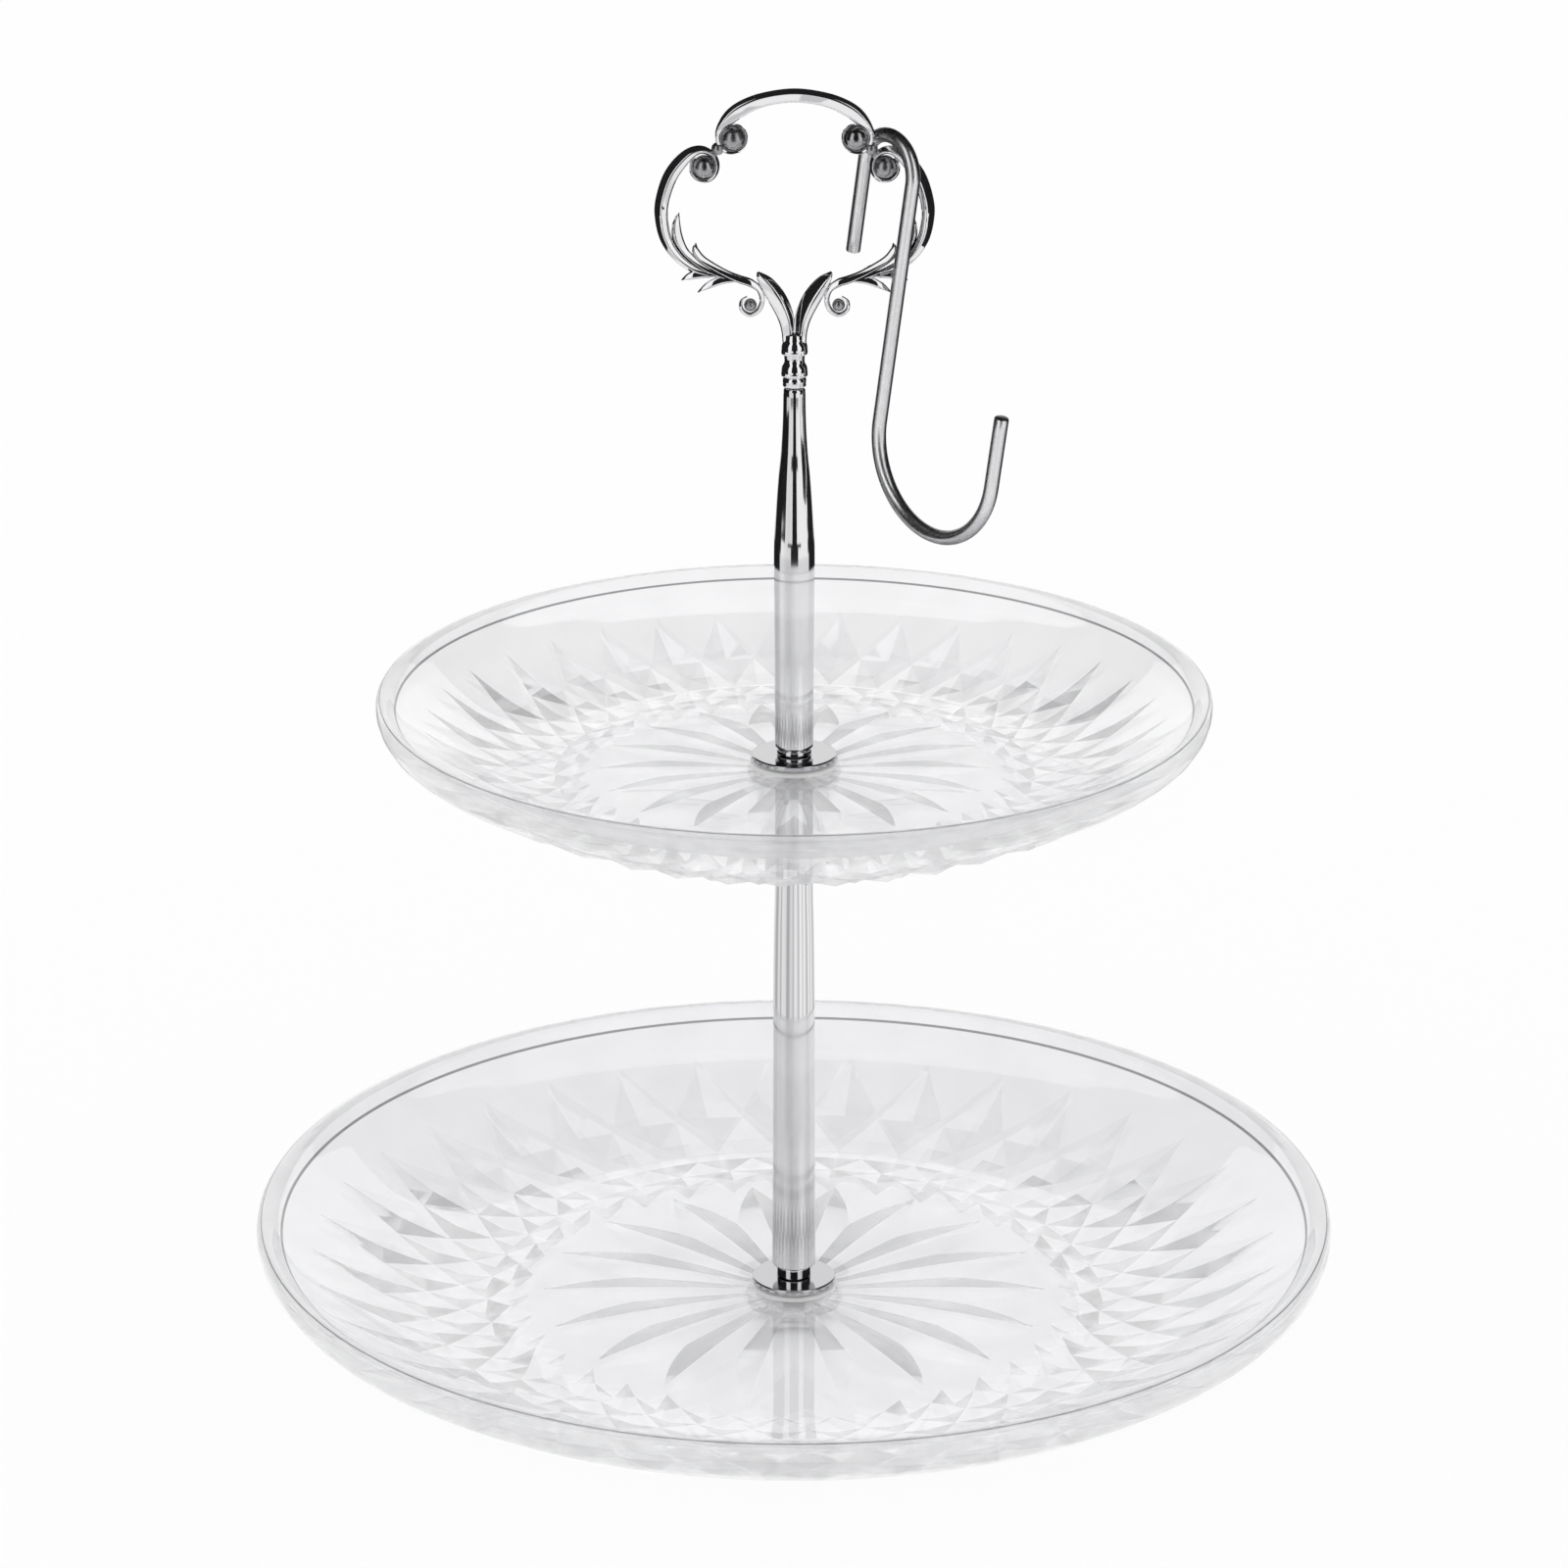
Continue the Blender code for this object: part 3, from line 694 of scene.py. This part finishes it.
# Each bar's path and depth in millimetres, whether its steep face is towards the ring's outside (1)
# or inside (-1), and where its ridge lies on the left and the right half: 1 is the steep edge.
BARS = (
    (LOBE, 4.2, 1, 0.1, -0.1),
    (INNER_HIGH, 3.0, 1, 0.45, 0.45),
    (INNER_LOW, 3.0, 1, 0.45, 0.45),
    (OUTER_HIGH, 2.8, 1, 0.45, 0.45),
    (OUTER_LOW, 2.6, 1, 0.45, 0.45),
    (WING, 4.4, -1, 0.4, -0.15),
)
ARC_DEPTH = 3.8
ARC_RIDGE = 0.62
TIP_DEPTH = 0.35  # a bar's depth where its width runs out, as a share of its full depth


def section(ridge, rounds=2, cut_back=0.13):
    """A bar's cross-section with softly rounded corners, as shares of half width and depth.

    Its front goes from the steep edge over the ridge to the thin edge, and its back mirrors it.
    """
    front = [(1.0, 0.1), (ridge, 1.0), (-0.8, 0.76 - 0.3 * ridge), (-1.0, 0.3)]
    points = front + [(u, -v) for u, v in front[::-1]]
    near, far = 1 - cut_back, cut_back
    for _ in range(rounds):
        cut = []
        for (u0, v0), (u1, v1) in zip(points, points[1:] + points[:1]):
            cut.append((near * u0 + far * u1, near * v0 + far * v1))
            cut.append((far * u0 + near * u1, far * v0 + near * v1))
        points = cut
    return points


def strand(bm, path, depth, steep, ridge, side=1, steps=7):
    """One bar of the ring, swept along its centre line. Side -1 mirrors it across the stem."""
    line = catmull([(side * x, z, width) for x, z, width in path], steps)
    widest = max(width for _, _, width in path)
    profile = section(ridge)
    rings = []
    for i, (x, z, width) in enumerate(line):
        before, after = line[max(i - 1, 0)], line[min(i + 1, len(line) - 1)]
        along = Vector((after[0] - before[0], 0, after[1] - before[1])).normalized()
        across = side * steep * Vector((-along.z, 0, along.x))
        thick = depth * (TIP_DEPTH + (1 - TIP_DEPTH) * width / widest)
        rings.append([
            bm.verts.new((Vector((x, -v * thick / 2, z)) + across * u * width / 2) * MM)
            for u, v in profile
        ])
    for ring, after in zip(rings, rings[1:]):
        join_rings(bm, ring, after)
    bm.faces.new(rings[0])
    bm.faces.new(rings[-1])


# A bead's outline: share of its height against share of its bulge. It is widest low down.
BEAD = [(0, 0), (0.02, 0.45), (0.07, 0.78), (0.15, 0.96), (0.25, 1.0), (0.45, 0.98), (0.65, 0.88),
        (0.8, 0.7), (0.92, 0.42), (1.0, 0.1)]


def add_neck(bm, base):
    """The two-beaded neck, turned. Its outline is (radius, height over the base) in mm."""
    outline = [(1.8, 0), (2.6, 0), (2.72, 0.15), (2.75, 0.9), (2.85, 1.7), (2.62, 2.2)]
    for low, high in ((2.3, 5.5), (7.5, 10.8)):
        for share, bulge in BEAD:
            outline.append((2.5 + 0.65 * bulge, low + (high - low) * share))
        outline.append((2.42, high + 0.35))
        outline.append((2.42, high + 1.4))
    outline += [(2.0, 12.6), (0, 12.8)]
    rings = [ring_of(bm, r * MM, base + z * MM) for r, z in outline]
    for ring, after in zip(rings, rings[1:]):
        join_rings(bm, ring, after)


def add_ball(bm, x, z, radius):
    """A ball at a scroll's end, in the second material: a rougher copy of the plating, darkened as
    painted shade.
    """
    place = Matrix.Translation(Vector((x, 0, z)) * MM)
    made = bmesh.ops.create_uvsphere(bm, u_segments=32, v_segments=20, radius=radius * MM,
                                     matrix=place)
    for face in {face for vert in made["verts"] for face in vert.link_faces}:
        face.material_index = 1


def handle(material, ball_painted_shade_material):
    """The ring's bars and balls over the neck, as one mesh."""
    bm = bmesh.new()
    for path, depth, steep, left_ridge, right_ridge in BARS:
        strand(bm, path, depth, steep, left_ridge, side=-1)
        strand(bm, path, depth, steep, right_ridge, side=1)
    for x, z, radius in SCROLL_BALLS:
        add_ball(bm, -x, z, radius)
        add_ball(bm, x, z, radius)
    mirrored_arc = [(-x, z, width) for x, z, width in ARC[-2::-1]]
    strand(bm, ARC + mirrored_arc, ARC_DEPTH, steep=1, ridge=ARC_RIDGE)
    add_neck(bm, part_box("handle_casting")[0][2])
    bmesh.ops.recalc_face_normals(bm, faces=bm.faces)
    obj = new_object("scroll_handle", bm, material, sharp_degrees=50)
    obj.data.materials.append(ball_painted_shade_material)
    return stand_in(obj, "handle_casting")


# The hook. WIRE is the wire's radius, and the two loops' radii are those of its centre line.
WIRE = 1.7 * MM
SMALL_LOOP = 8.3 * MM
BIG_LOOP = 19.6 * MM
HOOK_STEM = 58.9 * MM
SHORT_LEG = 23.0 * MM
LONG_LEG = 17.4 * MM
HOOK_LEAN = math.radians(10.5)


def arc_points(centre, radius, start, end, steps):
    """Points along an arc in the XZ plane, with both its ends."""
    turns = [start + (end - start) * k / steps for k in range(steps + 1)]
    return [Vector((centre[0] + radius * math.cos(a), 0, centre[1] + radius * math.sin(a)))
            for a in turns]


def straight(start, end, steps):
    """Points from the start up to the end, which is left out."""
    return [start.lerp(end, k / steps) for k in range(steps)]


def wire_line():
    """The hook's centre line in its own plane, from the short leg's end to the long leg's."""
    small = arc_points((0, 0), SMALL_LOOP, math.pi, 0, 40)
    big = arc_points((SMALL_LOOP + BIG_LOOP, -HOOK_STEM), BIG_LOOP, math.pi, 2 * math.pi, 60)
    down = Vector((0, 0, -1))
    line = straight(small[0] + down * SHORT_LEG, small[0], 8) + small[:-1]
    line += straight(small[-1], big[0], 16) + big[:-1]
    line += straight(big[-1], big[-1] - down * LONG_LEG, 6) + [big[-1] - down * LONG_LEG]
    return line


def hook(material, sides=28):
    """The wire hook, hung on its joint's axis."""
    bm = bmesh.new()
    line = wire_line()
    softened_end = [(0.82, 0.0), (0.94, 0.06), (1.0, 0.22)]  # (radius, depth) in wire radii
    rings = []
    for i, here in enumerate(line):
        along = (line[min(i + 1, len(line) - 1)] - line[max(i - 1, 0)]).normalized()
        across = Vector((0, 1, 0)).cross(along)
        turns = [2 * math.pi * k / sides for k in range(sides)]
        spokes = [across * math.cos(a) + Vector((0, math.sin(a), 0)) for a in turns]
        if i in (0, len(line) - 1):
            inward = along if i == 0 else -along
            layers = [[bm.verts.new(here + spoke * WIRE * share + inward * WIRE * depth)
                       for spoke in spokes] for share, depth in softened_end]
            rings.extend(layers if i == 0 else layers[::-1])
        else:
            rings.append([bm.verts.new(here + spoke * WIRE) for spoke in spokes])
    for ring, after in zip(rings, rings[1:]):
        join_rings(bm, ring, after)
    bm.faces.new(rings[0])
    bm.faces.new(rings[-1])
    joint = joint_named("hook_swing")
    turn = math.atan2(-joint["axis"][0], -joint["axis"][1])
    place = (Matrix.Translation(joint["pos_m"]) @ Matrix.Rotation(-turn, 4, "Z")
             @ Matrix.Rotation(HOOK_LEAN, 4, "Y"))
    bmesh.ops.transform(bm, matrix=place, verts=bm.verts)
    bmesh.ops.recalc_face_normals(bm, faces=bm.faces)
    obj = new_object("wire_hook", bm, material, sharp_degrees=40)
    return stand_in(obj, "s_hook")


# ---------------------------------------------------------------- stage


def only_in_reflections(obj):
    """Leaves an object on the stage, where only glossy rays meet it."""
    obj.visible_camera = False
    obj.visible_diffuse = False
    obj.visible_transmission = False
    obj.visible_shadow = False


# The cards, in metres. Grey and pale ones lie just over the floor, and black ones over those.
CARD_RADIUS = 0.9
CARD_TOP = 1.3
LIFT = 0.0005
BLACK_LIFT = 0.0008


def card(name, start, end, low, high, material):
    """A sector of a turned surface, seen only in reflections.

    Low and high are the (radius, height) of its two edges. Angles are from the camera's side.
    """
    bm = bmesh.new()
    steps = max(2, round(abs(end - start) / 4))
    turns = [math.radians(start + (end - start) * k / steps - 90) for k in range(steps + 1)]
    rows = [[bm.verts.new((radius * math.cos(a), radius * math.sin(a), z)) for a in turns]
            for radius, z in (low, high)]
    join_rings(bm, rows[0], rows[1], closed=False)
    only_in_reflections(new_object(name, bm, material))


def patch(name, start, end, inner, outer, material, lift=LIFT):
    """A level card between two radii."""
    card(name, start, end, (inner, lift), (outer, lift), material)


def flag(name, start, end, low, high, material):
    """An upright card between two heights."""
    card(name, start, end, (CARD_RADIUS, low), (CARD_RADIUS, high), material)


def floor():
    """A matt floor, pale enough to vanish into the white surround."""
    bm = bmesh.new()
    bmesh.ops.create_grid(bm, x_segments=8, y_segments=8, size=4)
    material, shader = principled("backdrop", (0.9, 0.9, 0.9), 0.9)
    shader.inputs["Specular IOR Level"].default_value = 0.0
    vary(material, shader.inputs["Roughness"], noise(material, 3), 0.85, 0.95)
    new_object("floor", bm, material)


def black_cards():
    """What the chrome shows dark, such as the handle's outer faces and the stem's stripes."""
    black, shader = principled("flag_black", (0.015, 0.015, 0.016), 0.9)
    shader.inputs["Specular IOR Level"].default_value = 0.0
    for side, turn in (("left", -1), ("right", 1)):
        flag(f"flag_{side}_high", turn * 52, turn * 150, 0.4, CARD_TOP, black)
        flag(f"flag_{side}_back", turn * 150, turn * 180, 0.62, CARD_TOP, black)
        patch(f"flag_{side}_floor", turn * 82, turn * 150, 0.68, CARD_RADIUS, black, BLACK_LIFT)
        patch(f"flag_{side}_near", turn * 90, turn * 180, 0.34, 0.68, black, BLACK_LIFT)
    flag("flag_left", -140, -54, 0, 0.4, black)
    flag("flag_right", 88, 144, 0, 0.4, black)
    flag("flag_front_low", -12, 15, 0, 0.12, black)
    flag("flag_front", -24, 26, 0.12, CARD_TOP, black)
    flag("flag_right_middle", 60, 88, 0.045, 0.4, black)
    patch("flag_front_floor", -38, 38, 0.8, CARD_RADIUS, black)
    patch("flag_front_near", -20, 22, 0.62, 0.8, black, BLACK_LIFT)
    patch("flag_top", 0, 360, 0.0, CARD_RADIUS, black, CARD_TOP)


def grey_cards():
    """What the posts show: soft stripes down their length, and pale bands."""
    grey, _ = principled("flag_grey", (0.58, 0.58, 0.59), 0.9)
    stripes = ((-172, -158), (-132, -104), (-86, -74), (-44, -26), (-9, -2), (18, 30), (46, 52),
               (68, 82), (98, 105), (120, 148), (160, 170))
    for k, (start, end) in enumerate(stripes):
        patch(f"floor_stripe_{k}", start, end, 0.135, 0.38, grey)
    pale, _ = principled("flag_pale", (0.72, 0.72, 0.73), 0.9)
    for k, (start, end) in enumerate(((-180, -46), (-26, 26), (46, 180))):
        patch(f"floor_pale_{k}", start, end, 0.38, 0.5, pale)
    patch("floor_pale_outside", 0, 360, 0.5, 0.66, pale)


def white_surround():
    """Even white light from all round, with no lamp."""
    world = bpy.data.worlds.new("studio")
    world.use_nodes = True
    world.node_tree.nodes["Background"].inputs["Color"].default_value = (1, 1, 1, 1)
    world.node_tree.nodes["Background"].inputs["Strength"].default_value = 1.1
    bpy.context.scene.world = world


def camera():
    """From the front and above, with a long lens. Its tilt is from looking straight down."""
    data = bpy.data.cameras.new("camera")
    data.lens = 125
    data.sensor_width = 36
    data.clip_end = 20
    obj = bpy.data.objects.new("camera", data)
    obj.location = (-0.0024, -1.2081, 0.5803)
    obj.rotation_euler = (math.radians(69.93), 0, 0)
    bpy.context.scene.collection.objects.link(obj)
    bpy.context.scene.camera = obj


# ---------------------------------------------------------------- the whole stand


def paint_studs(steel):
    """The studs and the base screw are shown by their CAD shapes, and only get a material."""
    for node in ("handle_stud", "tie_stud", "base_screw"):
        mesh = frame["nodes"][node].data
        mesh.materials.clear()
        mesh.materials.append(steel)


def build():
    plating = chrome("chrome_plate", (0.82, 0.82, 0.83), 0.045)
    steel = zinc_steel()
    build_plates()
    build_posts()
    build_discs(steel)
    build_sleeves(plating)
    # The scroll balls get a darkened copy of the plating: painted shade.
    handle(plating, chrome("chrome_ball_painted_shade", (0.4, 0.4, 0.41), 0.3))
    hook(satin_wire_painted_light())
    paint_studs(steel)
    floor()
    black_cards()
    grey_cards()
    white_surround()
    camera()
    bpy.context.scene.view_settings.view_transform = "Standard"


build()
